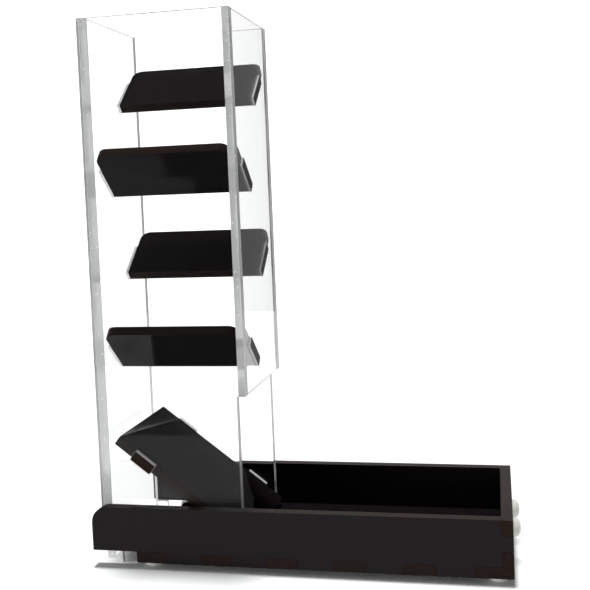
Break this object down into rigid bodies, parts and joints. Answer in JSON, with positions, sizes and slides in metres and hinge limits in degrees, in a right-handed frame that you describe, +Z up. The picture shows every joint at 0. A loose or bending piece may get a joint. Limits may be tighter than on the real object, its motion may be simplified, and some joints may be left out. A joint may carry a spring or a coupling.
{
  "type": "dice tower",
  "caption": "Clear square dice tower with sloping black baffles and an exit ramp, standing in one end of a low black tray.",
  "frame": {"origin": "bottom centre of the whole object, on the table", "axes": "+X along the tray towards its closed end, +Y from the front wall to the rear wall, +Z up"},
  "size_m": [0.2098, 0.085, 0.273],
  "materials": {
    "clear_acrylic": "polished faces, laser-cut edges",
    "baffle_acrylic": "glossy faces, laser-cut edges",
    "tray_acrylic": "glossy faces, laser-cut edges",
    "clear_rubber": "clear, smooth"
  },
  "bodies": {
    "tray": {"tray_floor": "tray_acrylic", "tray_front_wall": "tray_acrylic", "tray_rear_wall": "tray_acrylic", "tray_end_wall": "tray_acrylic", "foot_front_left": "clear_rubber", "foot_front_right": "clear_rubber", "foot_rear_left": "clear_rubber", "foot_rear_right": "clear_rubber", "end_bumper_front": "clear_rubber", "end_bumper_rear": "clear_rubber"},
    "tower": {"tower_front_panel": "clear_acrylic", "tower_rear_panel": "clear_acrylic", "tower_left_panel": "clear_acrylic", "tower_exit_panel": "clear_acrylic", "baffle_1": "baffle_acrylic", "baffle_2": "baffle_acrylic", "baffle_3": "baffle_acrylic", "baffle_4": "baffle_acrylic", "exit_ramp": "baffle_acrylic"}
  },
  "joints": [
    {"name": "tower_lift", "type": "slide", "parent": "tray", "child": "tower", "axis": [0, 0, 1], "range_m": [0, 0.04]}
  ]
}
